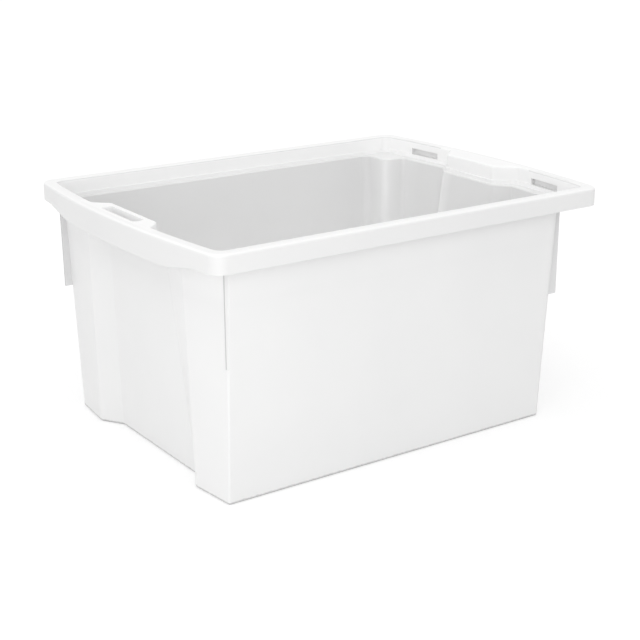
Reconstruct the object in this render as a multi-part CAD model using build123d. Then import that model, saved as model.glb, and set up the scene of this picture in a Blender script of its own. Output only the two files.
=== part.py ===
from build123d import *
import math
import os

# Open storage box, one injection moulding in white plastic, with tapered walls,
# a stacking ledge inside the rim and nesting fins under it. Each node is one
# region of the moulding, and the regions meet face to face along the seams.
#
# Millimetres. X runs along the length, Y across it and Z up, from the middle of
# the underside. The left end (-X) has wide columns at its corners. The right end
# (+X) has its columns set in from the corners and a narrower recess.

# Overall size over the rim
length = 600.0
width = 444.0
height = 310.0
end_bow = 16.0
rim_corner_radius = 18.0

# Wall, floor and foot
wall = 2.2
floor_thickness = 3.0
foot_depth = 2.0
foot_width = 16.0
base_height = 8.0
underside_radius = 2.5
inside_radius = 1.5

# Rim section
lip_width = 15.5
skirt_depth = 23.0
upstand_depth = 19.0
step_drop = 5.0
step_width = 1.8
opening_corner_radius = 12.0
lip_outer_radius = 3.5
lip_inner_radius = 2.0
ledge_edge_radius = 1.5

# Set-in of the walls from the rim's outer face, under the ledge and at the foot
side_set_in_top = 16.0
side_set_in_foot = 32.0
end_set_in_top = 25.5
end_set_in_foot = 33.0

# Left end: half widths of the recess at its mouth and at its panel
left_mouth_top = 119.0
left_mouth_foot = 125.0
left_panel_top = 72.0
left_panel_foot = 96.0
left_panel_set_in_top = 37.0
left_panel_set_in_foot = 57.0

# Right end: corners cut back between the long walls and the columns
right_corner_set_in_top = 66.0
right_corner_set_in_foot = 72.0
right_corner_width_top = 45.0
right_corner_width_foot = 36.0
right_column_rake = 2.0
right_mouth_top = 72.0
right_mouth_foot = 98.0
right_panel_top = 50.0
right_panel_foot = 74.0
right_panel_set_in_top = 44.3
right_panel_set_in_foot = 64.3

# Radii of the upright edges
left_corner_radius = 3.0
right_corner_radius_top = 14.0
right_corner_radius_foot = 6.0
column_radius = 9.0
panel_radius = 12.0
least_radius = 2.0

# Shelves level with the lip, over the two recess panels, and the left one's slot
left_shelf_half = 76.5
left_shelf_flare = 19.5
right_shelf_half = 72.0
right_shelf_flare = 24.0
shelf_corner_radius = 8.0
slot_width = 14.5
slot_half_length = 41.0
slot_corner_radius = 2.0
slot_collar_depth = 12.0

# Pockets in the upstand at the right end, standing on the first step
window_centre = 126.0
window_length = 54.0
window_height = 8.5
window_depth = 5.5

# Grip aprons under the rim at both ends
grip_depth = 9.0
grip_half_width = 124.0
grip_run_out = 56.0

# Upright fins that carry a nested box. The set-in of their edges is taken from
# the rim at the middle of the end, and the right ones' set-back from the rim.
fin_thickness = 2.5
fin_depth = 140.0
left_front_fin_set_in_top = 35.8
left_front_fin_set_in_low = 40.2
left_back_fin_set_in_top = 32.5
left_back_fin_set_in_low = 31.4
left_fin_set_back = 0.3
right_fin_set_in = 57.7
right_fin_set_back = 27.0

# Where the regions of the moulding are parted
seam_margin = 8.0
rim_corner_length = 40.0

half_length = length / 2
half_width = width / 2
bow_radius = (half_width**2 + end_bow**2) / (2 * end_bow)
step_z = height - upstand_depth
ledge_z = step_z - step_drop
wall_top = ledge_z - wall
floor_top = foot_depth + floor_thickness
skirt_bottom = height - skirt_depth
lip_bottom = height - wall
opening_end = half_length - lip_width
slot_edge = opening_end + wall
shelf_set_back = step_width + ledge_edge_radius
shelf_reach = max(left_shelf_half, right_shelf_half) + 2 * shelf_corner_radius
shelf_end = slot_edge + 2 * wall
fin_bottom = height - fin_depth
far = length
touch = 0.01


def rim_end(y, inset):
    """X of the bowed end line at y, moved in by inset."""
    centre = half_length - bow_radius
    return centre + math.sqrt((bow_radius - inset) ** 2 - y**2)


def between(foot, top, z):
    """A size that changes evenly from the underside to the ledge."""
    return foot + (top - foot) * z / ledge_z


def side_face(z):
    """Y of the long wall's outer face."""
    return half_width - between(side_set_in_foot, side_set_in_top, z)


def left_corner_x(z):
    """X of the left corners, taken as positive."""
    return rim_end(side_face(z), between(end_set_in_foot, end_set_in_top, z))


def left_panel_x(z):
    """X of the left recess panel's outer face, taken as positive."""
    return half_length - between(left_panel_set_in_foot, left_panel_set_in_top, z)


def right_corner_x(z):
    """X of the cut-back right corners."""
    return half_length - between(right_corner_set_in_foot, right_corner_set_in_top, z)


def right_panel_x(z):
    """X of the right recess panel's outer face."""
    return half_length - between(right_panel_set_in_foot, right_panel_set_in_top, z)


# The long sides stop short of the ends. Each end is cut between its columns and
# its recess, and the rim beside its four corners.
left_cut = -(left_panel_x(0) - wall - seam_margin)
right_cut = right_corner_x(0) - right_corner_radius_top - seam_margin
left_seam_foot = (left_mouth_foot + left_panel_foot) / 2
left_seam_top = (left_mouth_top + left_panel_top) / 2
right_seam_foot = (right_mouth_foot + right_panel_foot) / 2
right_seam_top = (right_mouth_top + right_panel_top) / 2
rim_cut_x = half_length - end_bow - rim_corner_length
rim_cut_y = half_width - rim_corner_length


def rim_face(inset, corner_radius):
    """The rim's bowed outline, moved in by inset, as a flat face."""
    side = half_width - inset
    corner = rim_end(side, inset)
    end = half_length - inset
    outline = [
        Line((-corner, side), (corner, side)),
        ThreePointArc((corner, side), (end, 0), (corner, -side)),
        Line((corner, -side), (-corner, -side)),
        ThreePointArc((-corner, -side), (-end, 0), (-corner, side)),
    ]
    face = make_face(outline)
    return fillet(face.vertices(), corner_radius)


def raise_up(face, low, high):
    """A flat face at Z 0 as a solid from low to high."""
    return Pos(0, 0, low) * extrude(face, high - low)


def block(x0, x1, y0, y1, z0, z1):
    """A box between two opposite corners."""
    middle = Pos((x0 + x1) / 2, (y0 + y1) / 2, (z0 + z1) / 2)
    return middle * Box(abs(x1 - x0), abs(y1 - y0), z1 - z0)


def zone(x0, x1, y0, y1):
    """A cutting box over the full height, between two opposite corners in plan."""
    return block(x0, x1, y0, y1, 0, height)


def body_half(z):
    """Corners of the body's outer outline on the back half, left to right.

    Each is (x, y, radius, bend), with bend +1 at an outward corner and -1 at
    an inward one.
    """
    side = side_face(z)
    set_in = between(end_set_in_foot, end_set_in_top, z)
    left_mouth = between(left_mouth_foot, left_mouth_top, z)
    left_panel = between(left_panel_foot, left_panel_top, z)
    corner_radius = between(right_corner_radius_foot, right_corner_radius_top, z)
    column_outer = side - between(right_corner_width_foot, right_corner_width_top, z)
    column_face = column_outer - right_column_rake
    right_mouth = between(right_mouth_foot, right_mouth_top, z)
    right_panel = between(right_panel_foot, right_panel_top, z)
    return [
        (-left_panel_x(z), left_panel, panel_radius, -1),
        (-rim_end(left_mouth, set_in), left_mouth, column_radius, 1),
        (-left_corner_x(z), side, left_corner_radius, 1),
        (right_corner_x(z), side, corner_radius, 1),
        (right_corner_x(z), column_outer, column_radius, -1),
        (rim_end(column_face, set_in), column_face, column_radius, 1),
        (rim_end(right_mouth, set_in), right_mouth, column_radius, 1),
        (right_panel_x(z), right_panel, panel_radius, -1),
    ]


def moved_in(corners, distance):
    """Closed outline with every side moved in, and its radii to match."""
    count = len(corners)
    lines = []
    for index in range(count):
        start = Vector(*corners[index][:2])
        end = Vector(*corners[(index + 1) % count][:2])
        along = (end - start).normalized()
        inward = Vector(along.Y, -along.X)
        lines.append((start + inward * distance, along))
    result = []
    for index in range(count):
        point, along = lines[index - 1]
        other, direction = lines[index]
        gap = other - point
        cross = along.X * direction.Y - along.Y * direction.X
        reach = (gap.X * direction.Y - gap.Y * direction.X) / cross
        corner = point + along * reach
        radius = max(corners[index][2] - corners[index][3] * distance, least_radius)
        result.append((corner.X, corner.Y, radius))
    return result


def rounded_face(corners):
    """Closed outline through (x, y, radius) corners, rounded by tangent arcs."""
    count = len(corners)
    arcs = []
    for index in range(count):
        before = Vector(*corners[index - 1][:2])
        here = Vector(*corners[index][:2])
        after = Vector(*corners[(index + 1) % count][:2])
        radius = corners[index][2]
        arriving = (here - before).normalized()
        leaving = (after - here).normalized()
        half_turn = math.radians(arriving.get_angle(leaving) / 2)
        reach = radius * math.tan(half_turn)
        towards_centre = (leaving - arriving).normalized()
        crown = here + towards_centre * (radius / math.cos(half_turn) - radius)
        arcs.append((here - arriving * reach, crown, here + leaving * reach))
    edges = []
    for index in range(count):
        edges.append(ThreePointArc(*arcs[index]))
        edges.append(Line(arcs[index][2], arcs[(index + 1) % count][0]))
    return make_face(edges)


def body_face(z, inset):
    """The body's outline at height z, moved in by inset, as a flat face at Z 0."""
    back = body_half(z)
    front = [(x, -y, radius, bend) for x, y, radius, bend in reversed(back)]
    return rounded_face(moved_in(back + front, inset))


def body_loft(low, high, inset):
    """Tapered solid inside the body's outline between two heights."""
    lower = Pos(0, 0, low) * body_face(low, inset)
    upper = Pos(0, 0, high) * body_face(high, inset)
    return loft([lower, upper], ruled=True)


def shelf_face(panel_x, shelf_half, flare, sign):
    """Plan of a shelf that stops short of the inside of a recess panel by the ledge."""
    inner = panel_x - wall + shelf_set_back
    outer = half_length - wall
    inner_half = shelf_half - flare
    outer_half = inner_half + flare * (outer - inner) / (opening_end - inner)
    points = [(inner, inner_half), (outer, outer_half), (outer, -outer_half), (inner, -inner_half)]
    return make_face(Polyline([(sign * x, y) for x, y in points], close=True))


def opening_face():
    """The mouth of the box: the lip's inner outline, less the two shelves."""
    left = shelf_face(left_panel_x(ledge_z), left_shelf_half, left_shelf_flare, -1)
    right = shelf_face(right_panel_x(ledge_z), right_shelf_half, right_shelf_flare, 1)
    plan = rim_face(lip_width, opening_corner_radius) - left - right
    shelf_corners = plan.vertices().filter_by_position(Axis.Y, -shelf_reach, shelf_reach)
    return fillet(shelf_corners, shelf_corner_radius)


def outside_lip(edge):
    """True for an edge that lies on the outer half of the lip."""
    middle = edge @ 0.5
    half_lip = lip_width / 2
    beyond_side = abs(middle.Y) > half_width - half_lip
    return beyond_side or abs(middle.X) > rim_end(middle.Y, half_lip)


def top_edges(solid, outer):
    """Edges of the rim's top face, on the skirt side or round the mouth."""
    edges = solid.edges().filter_by_position(Axis.Z, height - touch, height + touch)
    return [edge for edge in edges if outside_lip(edge) == outer]


def slot_face(margin):
    """Plan of the slot in the left shelf, along the lip, grown by margin."""
    plan = Rectangle(slot_width + 2 * margin, 2 * (slot_half_length + margin))
    plan = fillet(plan.vertices(), slot_corner_radius + margin)
    return Pos(slot_width / 2 - slot_edge, 0) * plan


def make_slot_collar():
    """Collar that hangs under the left shelf, round the slot."""
    return raise_up(slot_face(wall) - slot_face(0), lip_bottom - slot_collar_depth, lip_bottom)


def window_blocks(depth, margin):
    """Two blocks at the right end that reach to depth behind the lip's inner line."""
    plan = rim_face(lip_width - depth, opening_corner_radius)
    layer = raise_up(plan, step_z - margin, step_z + window_height + margin)
    half = window_length / 2 + margin
    strip = zone(opening_end - lip_width, far, -half, half)
    return layer & (Pos(0, window_centre) * strip + Pos(0, -window_centre) * strip)


def make_rim(mouth):
    """Lip and skirt as one ring, with the tops of both shelves."""
    outline = rim_face(0, rim_corner_radius)
    skirt_inside = rim_face(wall, rim_corner_radius - wall)
    ring = raise_up(outline - mouth, lip_bottom, height)
    ring += raise_up(outline - skirt_inside, skirt_bottom, lip_bottom)
    ring = fillet(top_edges(ring, True), lip_outer_radius)
    ring = fillet(top_edges(ring, False), lip_inner_radius)
    return ring - raise_up(slot_face(0), skirt_bottom, height)


def make_upstand(mouth):
    """Wall round the mouth from the ledge up to the lip, thicker below the first step."""
    behind = offset(mouth, wall)
    ring = raise_up(behind - mouth, ledge_z, lip_bottom)
    ring += raise_up(behind - offset(mouth, -step_width), ledge_z, step_z)
    ring += window_blocks(window_depth + wall, wall) - raise_up(mouth, ledge_z, lip_bottom)
    return ring - window_blocks(window_depth, 0)


def make_ledge(mouth):
    """Stacking ledge between the upstand and the body walls."""
    plate = raise_up(offset(mouth, wall), wall_top, ledge_z)
    plate -= body_loft(wall_top, ledge_z, wall)
    top_face = plate.faces().sort_by(Axis.Z)[-1]
    return fillet(top_face.inner_wires()[0].edges(), ledge_edge_radius)


def make_walls():
    """Tapered ring of body walls from the base up to the ledge."""
    return body_loft(base_height, wall_top, 0) - body_loft(base_height, wall_top, wall)


def make_base_ring():
    """Rounded foot of the walls, with the edge of the floor inside it."""
    ring = body_loft(0, base_height, 0)
    ring = fillet(ring.faces().sort_by(Axis.Z)[0].edges(), underside_radius)
    hollow = body_loft(floor_top, base_height, wall)
    hollow = fillet(hollow.faces().sort_by(Axis.Z)[0].edges(), inside_radius)
    return ring - hollow - raise_up(body_face(0, foot_width), 0, base_height)


def make_floor_panel():
    """Flat floor inside the foot, raised clear of the ground."""
    return raise_up(body_face(0, foot_width), foot_depth, floor_top)


def recess_zone(foot_half, top_half, sign):
    """Wedge over the middle of one end, with sides that lean like the columns."""
    outline = [(-foot_half, 0), (foot_half, 0), (top_half, ledge_z), (-top_half, ledge_z)]
    face = Plane.YZ * make_face(Polyline(outline, close=True))
    return extrude(face, half_length, dir=(sign, 0, 0))


def middle_of_column_side(z):
    """X halfway along the outer side of a right column."""
    corners = body_half(z)
    return (corners[4][0] + corners[5][0]) / 2


def right_corner_zone(sign):
    """Wedge over one cut-back corner, up to the middle of the column's side."""
    column_foot = side_face(0) - right_corner_width_foot - right_column_rake
    inner_y = (column_foot + right_mouth_foot) / 2
    foot = middle_of_column_side(0)
    top = middle_of_column_side(ledge_z)
    outline = [(right_cut, 0), (foot, 0), (top, ledge_z), (right_cut, ledge_z)]
    plane = Plane((0, sign * inner_y, 0), x_dir=(1, 0, 0), z_dir=(0, -1, 0))
    face = plane * make_face(Polyline(outline, close=True))
    return extrude(face, half_width, dir=(0, sign, 0))


def fin_section(start, edge, side, z):
    """Plan of a fin at height z, from start to its edge, inside the plane at side."""
    inner = side - math.copysign(fin_thickness, side)
    points = [(start, side), (edge, side), (edge, inner), (start, inner)]
    return Pos(0, 0, z) * make_face(Polyline(points, close=True))


def make_fin(lower, upper):
    """Thin plate that hangs under the ledge beside a corner, between two plans."""
    return loft([lower, upper], ruled=True) - body_loft(base_height, wall_top, 0)


def make_left_fin(sign, set_in_low, set_in_top):
    """Fin that carries on the long wall past the left corner, leaning with the wall."""
    low_side = sign * (side_face(fin_bottom) - left_fin_set_back)
    top_side = sign * (side_face(wall_top) - left_fin_set_back)
    lower = fin_section(left_cut, set_in_low - half_length, low_side, fin_bottom)
    upper = fin_section(left_cut, set_in_top - half_length, top_side, wall_top)
    return make_fin(lower, upper)


def make_right_fin(sign):
    """Upright fin that stands out from a cut-back right corner."""
    side = sign * (half_width - right_fin_set_back)
    edge = half_length - right_fin_set_in
    lower = fin_section(right_cut, edge, side, fin_bottom)
    upper = fin_section(right_cut, edge, side, wall_top)
    return make_fin(lower, upper)


def make_grip(sign):
    """Deeper stretch of skirt at one end, for the fingers."""
    ring = rim_face(0, rim_corner_radius) - rim_face(wall, rim_corner_radius - wall)
    low = skirt_bottom - grip_depth
    ends = grip_half_width + grip_run_out
    outline = [(-grip_half_width, low), (grip_half_width, low), (ends, skirt_bottom), (-ends, skirt_bottom)]
    face = Plane.YZ * make_face(Polyline(outline, close=True))
    return raise_up(ring, low, skirt_bottom) & extrude(face, half_length, dir=(sign, 0, 0))


parts = {}
sides = {-1: "front", 1: "back"}
ends = {-1: "left", 1: "right"}

# Floor and foot
parts["floor_panel"] = make_floor_panel()
parts["base_ring"] = make_base_ring()

# Walls, columns, cut-back corners and recess panels
walls = make_walls()
left_recess = recess_zone(left_seam_foot, left_seam_top, -1)
right_recess = recess_zone(right_seam_foot, right_seam_top, 1)
left_walls = walls & zone(-far, left_cut, -far, far)
right_walls = walls & zone(right_cut, far, -far, far)
parts["left_recess_panel"] = left_walls & left_recess
parts["right_recess_panel"] = right_walls & right_recess
for sign, name in sides.items():
    half = zone(-far, far, 0, sign * far)
    corner = right_corner_zone(sign)
    parts[name + "_wall"] = walls & zone(left_cut, right_cut, 0, sign * far)
    parts["left_" + name + "_column"] = (left_walls - left_recess) & half
    parts["right_" + name + "_corner"] = right_walls & corner
    parts["right_" + name + "_column"] = (right_walls - right_recess - corner) & half

# Ledge
mouth = opening_face()
ledge = make_ledge(mouth)
parts["left_ledge"] = ledge & zone(-far, left_cut, -far, far)
parts["right_ledge"] = ledge & zone(right_cut, far, -far, far)
for sign, name in sides.items():
    parts[name + "_ledge"] = ledge & zone(left_cut, right_cut, 0, sign * far)

# Fins
parts["left_front_fin"] = make_left_fin(-1, left_front_fin_set_in_low, left_front_fin_set_in_top)
parts["left_back_fin"] = make_left_fin(1, left_back_fin_set_in_low, left_back_fin_set_in_top)
parts["right_front_fin"] = make_right_fin(-1)
parts["right_back_fin"] = make_right_fin(1)

# Rim, upstand, shelves, slot collar and grips
parts["left_slot_collar"] = make_slot_collar()
rim = make_rim(mouth)
upstand = make_upstand(mouth)
for sign, name in ends.items():
    shelf_zone = zone(0, sign * shelf_end, -shelf_reach, shelf_reach)
    end_zone = zone(sign * rim_cut_x, sign * far, -rim_cut_y, rim_cut_y)
    parts[name + "_shelf"] = (rim + upstand) & shelf_zone
    parts[name + "_rim"] = (rim & end_zone) - shelf_zone
    parts[name + "_grip"] = make_grip(sign)
    for side, side_name in sides.items():
        corner_name = name + "_" + side_name
        corner_zone = zone(sign * rim_cut_x, sign * far, side * rim_cut_y, side * far)
        quarter = zone(sign * rim_cut_x, sign * far, 0, side * far)
        parts[corner_name + "_rim_corner"] = rim & corner_zone
        parts[corner_name + "_upstand"] = (upstand & quarter) - shelf_zone
for sign, name in sides.items():
    middle_zone = zone(-rim_cut_x, rim_cut_x, 0, sign * far)
    parts[name + "_rim"] = rim & middle_zone
    parts[name + "_upstand"] = upstand & middle_zone

os.makedirs("parts", exist_ok=True)
for name, piece in parts.items():
    export_step(Compound(piece.solids()), "parts/" + name + ".step")
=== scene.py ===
# %% [markdown]
# A white storage box, moulded in one shot of plastic. The imported CAD model gives
# every shape and every size. This lesson gives it its finish, its light and its
# camera. The first step loads the CAD model as a frame that stays where it is. The
# load leaves all nodes selected, so they are deselected before anything else is made.

# %% Load the frame
import math
import bpy
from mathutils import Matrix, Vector

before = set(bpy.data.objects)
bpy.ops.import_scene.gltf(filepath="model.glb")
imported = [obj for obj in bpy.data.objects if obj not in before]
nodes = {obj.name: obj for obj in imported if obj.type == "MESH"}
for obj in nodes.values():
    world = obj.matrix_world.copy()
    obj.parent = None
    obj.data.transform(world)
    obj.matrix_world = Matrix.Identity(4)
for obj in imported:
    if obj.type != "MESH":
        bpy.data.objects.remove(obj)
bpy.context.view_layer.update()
bpy.ops.object.select_all(action="DESELECT")


print("CAD nodes:", len(nodes))

# %% [markdown]
# Every surface here, plastic or paper, starts as an empty node material with one
# shader. Blender's default material could be changed instead, but a tree whose nodes
# are all made in code is easier to follow.

# %% An empty material
def new_material(name):
    """An empty node material with its shader and output joined."""
    material = bpy.data.materials.new(name)
    material.use_nodes = True
    tree = material.node_tree
    tree.nodes.clear()
    output = tree.nodes.new("ShaderNodeOutputMaterial")
    shader = tree.nodes.new("ShaderNodeBsdfPrincipled")
    tree.links.new(shader.outputs["BSDF"], output.inputs["Surface"])
    return material, tree, shader


print("material helper ready")

# %% [markdown]
# A moulded surface changes a little from place to place, in tone, in gloss and in
# height. A noise gives all three, spread over the range that each of them needs. The
# nodes' objects all sit at the origin, so a noise on Object coordinates runs on
# across the seams between them, as it does on a part that is moulded in one shot.

# %% Helpers for noise
noise_low, noise_high = 0.3, 0.7


def object_point(tree):
    """The point's place in the object's own coordinates, in metres."""
    return tree.nodes.new("ShaderNodeTexCoord").outputs["Object"]


def noise(tree, scale, detail):
    """A noise on the object's own coordinates, in features per metre."""
    texture = tree.nodes.new("ShaderNodeTexNoise")
    texture.inputs["Scale"].default_value = scale
    texture.inputs["Detail"].default_value = detail
    tree.links.new(object_point(tree), texture.inputs["Vector"])
    return texture.outputs["Fac"]


def spread(tree, value, low, high, start=noise_low, end=noise_high, smooth=False):
    """A value between start and end, where most of a noise lies, spread from low to high."""
    ramp = tree.nodes.new("ShaderNodeMapRange")
    if smooth:
        ramp.interpolation_type = "SMOOTHSTEP"
    limits = {"From Min": start, "From Max": end, "To Min": low, "To Max": high}
    for socket, limit in limits.items():
        ramp.inputs[socket].default_value = limit
    tree.links.new(value, ramp.inputs["Value"])
    return ramp.outputs["Result"]


print("noise helpers ready")

# %% [markdown]
# A noise becomes relief through a bump, and tone through a blend of two colours. The
# grain of a mould is far finer than a mesh can carry, so a bump is the right tool for
# it. One bump can lie on another, which is how a fine grain rides on slow waves.

# %% Helpers for relief and colour
def bump(tree, height, strength, depth, before=None):
    """A bump of a depth in metres, on top of an earlier one."""
    node = tree.nodes.new("ShaderNodeBump")
    node.inputs["Strength"].default_value = strength
    node.inputs["Distance"].default_value = depth
    tree.links.new(height, node.inputs["Height"])
    if before is not None:
        tree.links.new(before, node.inputs["Normal"])
    return node.outputs["Normal"]


def blend_colours(tree, factor, first, second):
    """The first colour where the factor is 0, the second where it is 1."""
    mix = tree.nodes.new("ShaderNodeMix")
    mix.data_type = "RGBA"
    tree.links.new(factor, mix.inputs["Factor"])
    for socket, colour in ((mix.inputs["A"], first), (mix.inputs["B"], second)):
        if isinstance(colour, tuple):
            socket.default_value = (*colour, 1.0)
        else:
            tree.links.new(colour, socket)
    return mix.outputs["Result"]


print("relief and colour helpers ready")

# %% [markdown]
# The plastic is a white polypropylene. It isn't one even colour: the melt cools a
# little differently from place to place, so the white drifts by a percent or two
# over a hand's breadth. The mould's steel is lightly spark-eroded, which leaves a
# grain of about half a millimetre, the satin is patchy where the steel was stoned,
# and over a few centimetres a moulded wall is never quite flat. One image could
# hold all of that, but noises on Object coordinates have no seams and need no map.
# Every finish on the box starts from this one, and the stacking ledge has it as it is.

# %% Moulded white plastic
drift_scale, drift_detail = 7.0, 3.0
patch_scale, patch_detail = 38.0, 4.0
wave_scale, wave_detail = 22.0, 1.0
wave_strength, wave_depth = 0.25, 0.0006
grain_scale, grain_detail = 1900.0, 2.0
grain_strength = 0.35
plastic_ior = 1.49


def white_plastic(name, whites, satin, grain_depth):
    """Moulded white plastic that drifts between a pale and a dark white."""
    material, tree, shader = new_material(name)
    pale, dark = whites
    drift = spread(tree, noise(tree, drift_scale, drift_detail), 0.0, 1.0)
    white = blend_colours(tree, drift, dark, pale)
    tree.links.new(white, shader.inputs["Base Color"])
    patches = noise(tree, patch_scale, patch_detail)
    tree.links.new(spread(tree, patches, *satin), shader.inputs["Roughness"])
    waves = bump(tree, noise(tree, wave_scale, wave_detail), wave_strength, wave_depth)
    grain = noise(tree, grain_scale, grain_detail)
    relief = bump(tree, grain, grain_strength, grain_depth, waves)
    tree.links.new(relief, shader.inputs["Normal"])
    shader.inputs["IOR"].default_value = plastic_ior
    return material, tree, shader, white


wall_whites = ((0.845, 0.845, 0.843), (0.825, 0.825, 0.825))
wall_satin = (0.38, 0.48)
wall_grain = 0.00006
body_white = white_plastic("body_white", wall_whites, wall_satin, wall_grain)[0]
print("finish:", body_white.name)

# %% [markdown]
# The other finishes change over the box, such as from the top of the lip to its
# skirt. They need the point's own place and the way that its face looks. Both come
# as three numbers, so one helper splits them and another does the sums. Every outer
# face looks away from the middle of the box and every inner face towards it, so the
# place times the normal, in plan, is above 0 outside and below 0 inside.

# %% Helpers for place and facing
def split(tree, vector):
    """The x, y and z of a place or a direction."""
    parts = tree.nodes.new("ShaderNodeSeparateXYZ")
    tree.links.new(vector, parts.inputs["Vector"])
    return parts.outputs["X"], parts.outputs["Y"], parts.outputs["Z"]


def object_place(tree):
    """The x, y and z of the point, in metres."""
    return split(tree, object_point(tree))


def face_looks(tree):
    """The x, y and z of the way that the face looks."""
    return split(tree, tree.nodes.new("ShaderNodeNewGeometry").outputs["True Normal"])


def sums(tree, operation, first, second=0.0):
    """One sum on one or two values, each a socket or a number."""
    node = tree.nodes.new("ShaderNodeMath")
    node.operation = operation
    for socket, value in zip(node.inputs, (first, second)):
        if isinstance(value, float):
            socket.default_value = value
        else:
            tree.links.new(value, socket)
    return node.outputs["Value"]


def looks_away(tree):
    """Above 0 on a face that looks away from the middle of the box, in plan."""
    x, y, _ = object_place(tree)
    looks_x, looks_y, _ = face_looks(tree)
    along = sums(tree, "MULTIPLY", x, looks_x)
    across = sums(tree, "MULTIPLY", y, looks_y)
    return sums(tree, "ADD", along, across)


print("place helpers ready")

# %% [markdown]
# Most of these changes run from none to full between two limits, or from full to
# none. Two short helpers say which, and a third makes a colour paler or greyer. The
# last one finds the points close to an upright edge, which leans with the walls.

# %% Helpers for changes of tone
ledge_height = 0.286


def rise(tree, value, start, end):
    """0 up to start and 1 from end on."""
    return spread(tree, value, 0.0, 1.0, start, end)


def fall(tree, value, start, end):
    """1 up to start and 0 from end on."""
    return spread(tree, value, 1.0, 0.0, start, end)


def scaled(tree, colour, factor):
    """A colour times a factor."""
    node = tree.nodes.new("ShaderNodeVectorMath")
    node.operation = "SCALE"
    tree.links.new(colour, node.inputs["Vector"])
    tree.links.new(factor, node.inputs["Scale"])
    return node.outputs["Vector"]


def near_edge(tree, foot, top, reach):
    """1 on an edge from the floor to the ledge, and 0 at a reach from it in plan."""
    *plan, z = object_place(tree)
    squares = []
    for value, at_foot, at_top in zip(plan, foot, top):
        edge = spread(tree, z, at_foot, at_top, 0.0, ledge_height)
        off_edge = sums(tree, "SUBTRACT", value, edge)
        squares.append(sums(tree, "MULTIPLY", off_edge, off_edge))
    distance = sums(tree, "SQRT", sums(tree, "ADD", *squares))
    return fall(tree, distance, 0.0, reach)


print("tone helpers ready")

# %% [markdown]
# White walls this thin let light through. Low down it glows into the box from
# outside, and close under the rim the skirt and the ledge keep it out. So in the
# picture the inside is one even tone, where an opaque box would be darker the
# deeper one looks. Light that really passed through the plastic would stop at the
# seams between the nodes and draw each one as a line. So that light is painted into
# the colour: the inner faces are painted paler low down, as painted light, and
# greyer under the ledge, as painted shade. The folds that stand into the box at its
# right end get more painted light, a wide faint band that lifts their shade and a
# thin painted highlight on the fold itself, and so does the far edge of the panel
# between them.
# Each edge is a line from the floor to the ledge, with a reach and a lift of tone.

# %% Inside of the walls
glow_height = 0.15
low_glow = 0.10
ledge_shade = -0.11
most_glow = 0.12
inner_limits = (-0.02, 0.02)
front_fold = ((0.2291, -0.1551), (0.2351, -0.1621))
back_fold = ((0.2291, 0.1551), (0.2351, 0.1621))
panel_edge = ((0.2335, 0.0750), (0.2535, 0.0508))
paler_edges = (
    (front_fold, 0.050, 0.13),
    (back_fold, 0.050, 0.13),
    (front_fold, 0.0035, 0.03),
    (back_fold, 0.0035, 0.03),
    (panel_edge, 0.020, 0.10),
    (panel_edge, 0.005, 0.08),
)
wall_white, tree, shader, even_white = white_plastic(
    "wall_white", wall_whites, wall_satin, wall_grain)
_, y, z = object_place(tree)
inner_face = fall(tree, looks_away(tree), *inner_limits)
# painted light low down and painted shade under the ledge
glow = spread(tree, z, low_glow, ledge_shade, glow_height, ledge_height)
# painted light and painted highlights along the folds and the panel's far edge
for edge, reach, lift in paler_edges:
    paler = sums(tree, "MULTIPLY", near_edge(tree, *edge, reach), lift)
    glow = sums(tree, "ADD", glow, paler)
inside = sums(tree, "MULTIPLY", sums(tree, "MINIMUM", glow, most_glow), inner_face)
print("paler bands on the edges inside:", len(paler_edges))

# %% [markdown]
# Outside, the light that has entered the walls comes out again where little falls on
# them: in the shadow of the skirts, behind the left grip, and on the near side of the
# recesses. A lamp under the skirt could brighten these places, but it would light the
# floor as well. So the white is lifted there by a few percent of painted light, which
# softens the shade of the skirts, the grip and the recesses.

# %% Outside of the walls
skirt_lift, skirt_heights = 0.07, (0.245, 0.287)
grip_lift, grip_heights = 0.06, (0.240, 0.275)
recess_lift, recess_limits = 0.05, (-0.015, -0.005)
left_looks = (-0.8, -0.4)
middle = (-0.05, 0.05)
looks_x, looks_y, _ = face_looks(tree)
# painted light in the shade of the skirts, the grip and the recesses
under_skirt = spread(tree, z, 0.0, skirt_lift, *skirt_heights)
under_grip = spread(tree, z, 0.0, grip_lift, *grip_heights)
under_grip = sums(tree, "MULTIPLY", under_grip, fall(tree, looks_x, *left_looks))
recess_side = sums(tree, "MULTIPLY", y, looks_y)
recess_side = spread(tree, recess_side, recess_lift, 0.0, *recess_limits)
recess_side = sums(tree, "MULTIPLY", recess_side, fall(tree, y, *middle))
outside = sums(tree, "ADD", under_skirt, sums(tree, "ADD", under_grip, recess_side))
outside = sums(tree, "MULTIPLY", outside, sums(tree, "SUBTRACT", 1.0, inner_face))
gain = sums(tree, "ADD", sums(tree, "ADD", inside, outside), 1.0)
tree.links.new(scaled(tree, even_white, gain), shader.inputs["Base Color"])
print("finish:", wall_white.name)

# %% [markdown]
# The top of the lip is painted paler than the skirt that hangs below it, a painted
# highlight of the light that falls on it from above, and the change runs over the
# rounded edge, where a face turns from looking up to looking out. The skirts at the
# two ends are painted a little greyer than those along the sides, as painted shade.

# %% Plastic of the rim
rim_whites = ((0.805, 0.805, 0.803), (0.79, 0.79, 0.79))
rim_satin = (0.30, 0.40)
fine_grain = 0.00003
lip_white = (0.875, 0.875, 0.873)
lip_looks = (0.35, 0.85)
end_shade_tone = 0.97
end_shade_looks = (0.5, 0.9)
rim_white, tree, shader, skirt_white = white_plastic(
    "rim_white", rim_whites, rim_satin, fine_grain)
looks_x, _, looks_z = face_looks(tree)
# painted shade on the skirts at the two ends
end_shade = spread(tree, sums(tree, "ABSOLUTE", looks_x), 1.0, end_shade_tone, *end_shade_looks)
skirt_colour = scaled(tree, skirt_white, end_shade)
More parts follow.
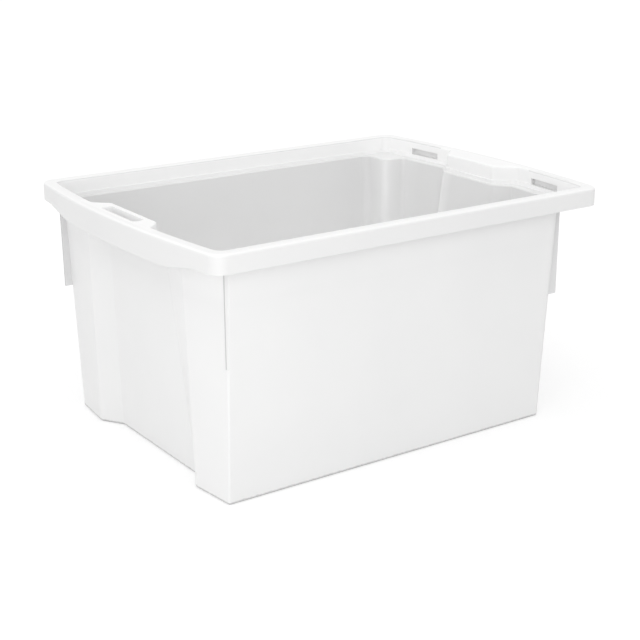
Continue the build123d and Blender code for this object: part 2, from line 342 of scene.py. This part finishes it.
# painted highlight on the top of the lip
on_lip = rise(tree, looks_z, *lip_looks)
rim_colour = blend_colours(tree, on_lip, skirt_colour, lip_white)
tree.links.new(rim_colour, shader.inputs["Base Color"])
print("finish:", rim_white.name)

# %% [markdown]
# The upstands stand round the mouth between the lip and the ledge, with the skirt
# behind them. Light that enters this double wall is scattered back out of it, so it
# is painted as the palest plastic on the box, a paler copy that stands in for that
# light. The shelves and the lining of the slot are the same. So is the floor inside,
# painted pale so that it throws more light up onto the walls inside.

# %% Plastic of the upstands
# a paler copy of the plastic, as painted light
painted_light_plastic = {
    "whites": ((0.92, 0.92, 0.918), (0.905, 0.905, 0.905)),
    "satin": (0.34, 0.44),
    "grain_depth": fine_grain,
}
upstand_white = white_plastic("upstand_white", **painted_light_plastic)[0]
print("finish:", upstand_white.name)

# %% [markdown]
# The backs of the two pockets at the right end are painted grey, as painted shade.
# They are cut into the upstand, so its material has to find them. The upstand there
# follows the bowed end, and its face moves back by about 8 mm for each 100 mm along
# y. A depth that takes this bow off is the same all over the face, and it is 5.5 mm
# more on the back of a pocket, so a step between the two draws a clean edge.

# %% Plastic of the upstands with pockets
pocket_shade_grey = (0.79, 0.79, 0.788)
bow_slope = 0.0815
face_depth = 0.2895
step_start, step_end = 0.0005, 0.0025
pocket_white, tree, shader, painted_light_white = white_plastic("pocket_white", **painted_light_plastic)
x, y, _ = object_place(tree)
bow = sums(tree, "MULTIPLY", sums(tree, "ABSOLUTE", y), bow_slope)
depth = sums(tree, "ADD", x, bow)
in_pocket = rise(tree, depth, face_depth + step_start, face_depth + step_end)
# painted shade on the backs of the pockets
pocket_colour = blend_colours(tree, in_pocket, painted_light_white, pocket_shade_grey)
tree.links.new(pocket_colour, shader.inputs["Base Color"])
print("finish:", pocket_white.name)

# %% [markdown]
# The four fins are thin plates that stand on the corners under the rim. The face
# that looks out is level with the wall and has the wall's white. The thin edge and
# the face that looks in are duller, and painted grey as painted shade of the narrow
# corners they stand in, the edge darkest, so that in the picture they draw a thin
# grey line down each corner. Two materials would need two slots on one node. Instead
# one material tells the faces apart by their normal. The front fins have a negative y
# and look out along -y, the back fins a positive y and look out along +y, so the
# normal's y times the place's y is high on the outer faces only. The right fins are
# set in from the wall and painted grey all over, as painted shade, so the wall's
# white stays on the left end.

# %% Plastic of the fins
fin_satin = (0.45, 0.55)
fin_grain = 0.00005
fin_shade_grey = (0.72, 0.72, 0.722)
fin_edge_shade_grey = (0.56, 0.56, 0.562)
edge_looks = (0.5, 0.8)
outer_limits = (0.06, 0.12)
fin_white, tree, shader, plate_white = white_plastic(
    "fin_white", wall_whites, fin_satin, fin_grain)
x, y, _ = object_place(tree)
looks_x, looks_y, _ = face_looks(tree)
on_edge = rise(tree, sums(tree, "ABSOLUTE", looks_x), *edge_looks)
# painted shade on the fins' edges and inner faces
grey = blend_colours(tree, on_edge, fin_shade_grey, fin_edge_shade_grey)
looks_out = rise(tree, sums(tree, "MULTIPLY", y, looks_y), *outer_limits)
outer_face = sums(tree, "MULTIPLY", looks_out, fall(tree, x, *middle))
fin_colour = blend_colours(tree, outer_face, grey, plate_white)
tree.links.new(fin_colour, shader.inputs["Base Color"])
print("finish:", fin_white.name)

# %% [markdown]
# The foot is what slides over floors and over other boxes, so it is duller. Its
# lowest few millimetres are painted grey, as painted shade where the foot meets the
# floor. In the picture that is the thin dark line under the walls. The painted shade
# grows towards the floor, and a fine noise breaks its upper edge, so that it doesn't
# end on a ruled line. The ring's inner side is the edge of the floor inside the box,
# and it is painted as pale as the floor.

# %% Plastic of the foot
foot_satin = (0.45, 0.60)
foot_grain = 0.00008
foot_shade_grey = (0.50, 0.50, 0.498)
foot_shade_heights = (0.0012, 0.0040)
ragged_scale, ragged_detail = 240.0, 3.0
ragged_height = 0.0006
inner_white = (0.913, 0.913, 0.912)
ring_limits = (-0.06, -0.02)
ring_looks = (0.3, 0.6)
foot_white, tree, shader, ring_white = white_plastic(
    "foot_white", wall_whites, foot_satin, foot_grain)
ragged = noise(tree, ragged_scale, ragged_detail)
ragged = spread(tree, ragged, -ragged_height, ragged_height)
# painted shade at the bottom of the foot
foot_shade = fall(tree, sums(tree, "ADD", object_place(tree)[2], ragged), *foot_shade_heights)
outer_colour = blend_colours(tree, foot_shade, ring_white, foot_shade_grey)
inner_side = fall(tree, looks_away(tree), *ring_limits)
inner_top = rise(tree, face_looks(tree)[2], *ring_looks)
inner_ring = sums(tree, "MAXIMUM", inner_side, inner_top)
ring_colour = blend_colours(tree, inner_ring, outer_colour, inner_white)
tree.links.new(ring_colour, shader.inputs["Base Color"])
print("finish:", foot_white.name)

# %% [markdown]
# The record names a material slot for each node, and the CAD nodes come with one
# slot each of that name. Putting the finish into the slot changes no mesh. Some nodes
# get a finish of their own: the foot, the floor, the ledges and all that lines the
# mouth.

# %% Give each node its plastic
finishes = {"body_plastic": wall_white, "rim_plastic": rim_white, "fin_plastic": fin_white}
own_finish = {"base_ring": foot_white}
# painted light: these nodes take the paler upstand white
for name in ("left_shelf", "right_shelf", "left_slot_collar", "floor_panel"):
    own_finish[name] = upstand_white
for name in nodes:
    if name.endswith("_upstand"):
        own_finish[name] = upstand_white
    if name.endswith("_ledge"):
        own_finish[name] = body_white
for name in ("right_front_upstand", "right_back_upstand"):
    own_finish[name] = pocket_white
used = {}
for name, node in nodes.items():
    slot = node.material_slots[0]
    slot_name = slot.material.name.split(".")[0]
    slot.material = own_finish.get(name, finishes[slot_name])
    used[slot.material.name] = used.get(slot.material.name, 0) + 1
print("nodes per finish:", used)

# %% [markdown]
# The picture is a product shot on white: soft light from large white screens, with
# no hard shadow. Screens could be built as lamps round the box, but a sky whose
# strength depends on the direction is softer and needs no objects. Its helpers give
# a light between two heights and a light from one side. A third tells the rays that
# see the background, straight or in a reflection, from those that light the box.

# %% Helpers for the sky
world = bpy.data.worlds.new("soft_studio")
bpy.context.scene.world = world
world.use_nodes = True
sky = world.node_tree
direction = sky.nodes.new("ShaderNodeTexCoord").outputs["Generated"]
height_in_sky = split(sky, direction)[2]


def sky_heights(none_at, full_at, strength):
    """Light that grows smoothly from one height in the sky to another."""
    return spread(sky, height_in_sky, 0.0, strength, none_at, full_at, smooth=True)


def sky_side(towards):
    """Light that is full in one direction and gone at a right angle to it."""
    facing = sky.nodes.new("ShaderNodeVectorMath")
    facing.operation = "DOT_PRODUCT"
    facing.inputs[1].default_value = towards
    sky.links.new(direction, facing.inputs[0])
    return sums(sky, "MAXIMUM", facing.outputs["Value"], 0.0)


def seeing_rays(tree):
    """1 for the rays that see the background and 0 for those that light the box."""
    rays = tree.nodes.new("ShaderNodeLightPath").outputs
    seen = sums(tree, "MAXIMUM", rays["Is Camera Ray"], rays["Is Glossy Ray"])
    return sums(tree, "MAXIMUM", seen, rays["Is Transmission Ray"])


print("sky helpers ready")

# %% [markdown]
# Five screens light the box: one on each side and one overhead. The left and front
# ones are the strongest at the sides, because the picture's left end and front wall
# are its palest walls, and the right and back ones fill the sides that look away.
# Rays from the camera and mirrored rays see a plain white in place of the screens, so
# the background and the gloss on the lips are the same from every side, and a white
# background needs no more light on the box.

# %% The sky
side_top, overhead_foot = 0.95, 0.60
overhead_strength = 1.15
screens = {
    "left": ((-1.0, 0.0, 0.0), 1.15),
    "front": ((0.0, -1.0, 0.0), 1.125),
    "right": ((1.0, 0.0, 0.0), 0.70),
    "back": ((0.0, 1.0, 0.0), 0.75),
}
all_screens = sky_heights(overhead_foot, side_top, overhead_strength)
for towards, brightness in screens.values():
    heights = sky_heights(side_top, overhead_foot, brightness)
    screen = sums(sky, "MULTIPLY", sky_side(towards), heights)
    all_screens = sums(sky, "ADD", all_screens, screen)
seen = seeing_rays(sky)
unseen = sums(sky, "SUBTRACT", 1.0, seen)
strength = sums(sky, "ADD", seen, sums(sky, "MULTIPLY", all_screens, unseen))
backdrop = sky.nodes["Background"]
sky.links.new(strength, backdrop.inputs["Strength"])
backdrop.inputs["Color"].default_value = (1.0, 1.0, 1.0, 1.0)
print("sky of an overhead screen and", len(screens), "at the sides")

# %% [markdown]
# The walls are palest at the near corner and greyer towards both far ends. A sky is
# the same for every point, so it can't do that. A small lamp in front of the near
# corner can, because its light falls off along the walls. Its middle hangs little
# higher than the rim, so it reaches the upstand at the back but hardly the walls inside.

# %% Lamp at the near corner
lamp_watts = 2.45
lamp_width, lamp_height = 0.7, 0.4
lamp_place = Vector((-0.95, -0.95, 0.35))
lamp_target = Vector((-0.2, -0.15, 0.15))


def stand(name, data, place, way):
    """A lamp or a camera that stands at a place and looks a way."""
    thing = bpy.data.objects.new(name, data)
    bpy.context.scene.collection.objects.link(thing)
    thing.location = place
    thing.rotation_euler = way.to_track_quat("-Z", "Y").to_euler()
    return thing


lamp_data = bpy.data.lights.new("corner_lamp", "AREA")
lamp_data.shape = "RECTANGLE"
lamp_data.size = lamp_width
lamp_data.size_y = lamp_height
lamp_data.energy = lamp_watts
stand("corner_lamp", lamp_data, lamp_place, lamp_target - lamp_place)
print("lamp of", lamp_watts, "W")

# %% [markdown]
# The floor is a sheet of matt paper, far wider than the view. Seen by the camera or
# in a reflection it is lifted to white by a glow of its own. The glow is added to
# the light that falls on the paper, so the soft shadow at the foot of the box stays.
# Its own grey is what the box gets back from it: a white floor would throw so much
# light up that the outer walls would be far paler than the upstands inside.

# %% Floor
floor_size = 30.0
paper_grey = (0.6, 0.6, 0.6, 1.0)
paper_glow = 0.43
bpy.ops.mesh.primitive_plane_add(size=floor_size, location=(0.0, 0.0, 0.0))
floor = bpy.context.object
floor.name = "floor"
floor_white, tree, shader = new_material("floor_white")
shader.inputs["Base Color"].default_value = paper_grey
shader.inputs["Roughness"].default_value = 1.0
shader.inputs["Specular IOR Level"].default_value = 0.0
shader.inputs["Emission Color"].default_value = (1.0, 1.0, 1.0, 1.0)
seen_glow = sums(tree, "MULTIPLY", seeing_rays(tree), paper_glow)
tree.links.new(seen_glow, shader.inputs["Emission Strength"])
floor.data.materials.append(floor_white)
print("floor of", floor.dimensions.x, "m")

# %% [markdown]
# The camera stands where the photographer stood: to the left of the front, looking
# down a little, with a long lens. The lens and the place were solved from the rim's
# corners, the foot's corners and the upright corner lines in the picture.

# %% Camera
azimuth = math.radians(-34.83)
elevation = math.radians(18.36)
camera_place = (-0.999, -1.4419, 0.7073)
sensor_mm = 36.0
lens_mm = 78.24
camera_data = bpy.data.cameras.new("camera")
camera_data.sensor_width = sensor_mm
camera_data.lens = lens_mm
back = Vector((
    math.sin(azimuth) * math.cos(elevation),
    -math.cos(azimuth) * math.cos(elevation),
    math.sin(elevation),
))
camera = stand("camera", camera_data, camera_place, -back)
bpy.context.scene.camera = camera
bpy.context.scene.view_settings.view_transform = "Standard"
print("camera at", [round(v, 3) for v in camera.location])
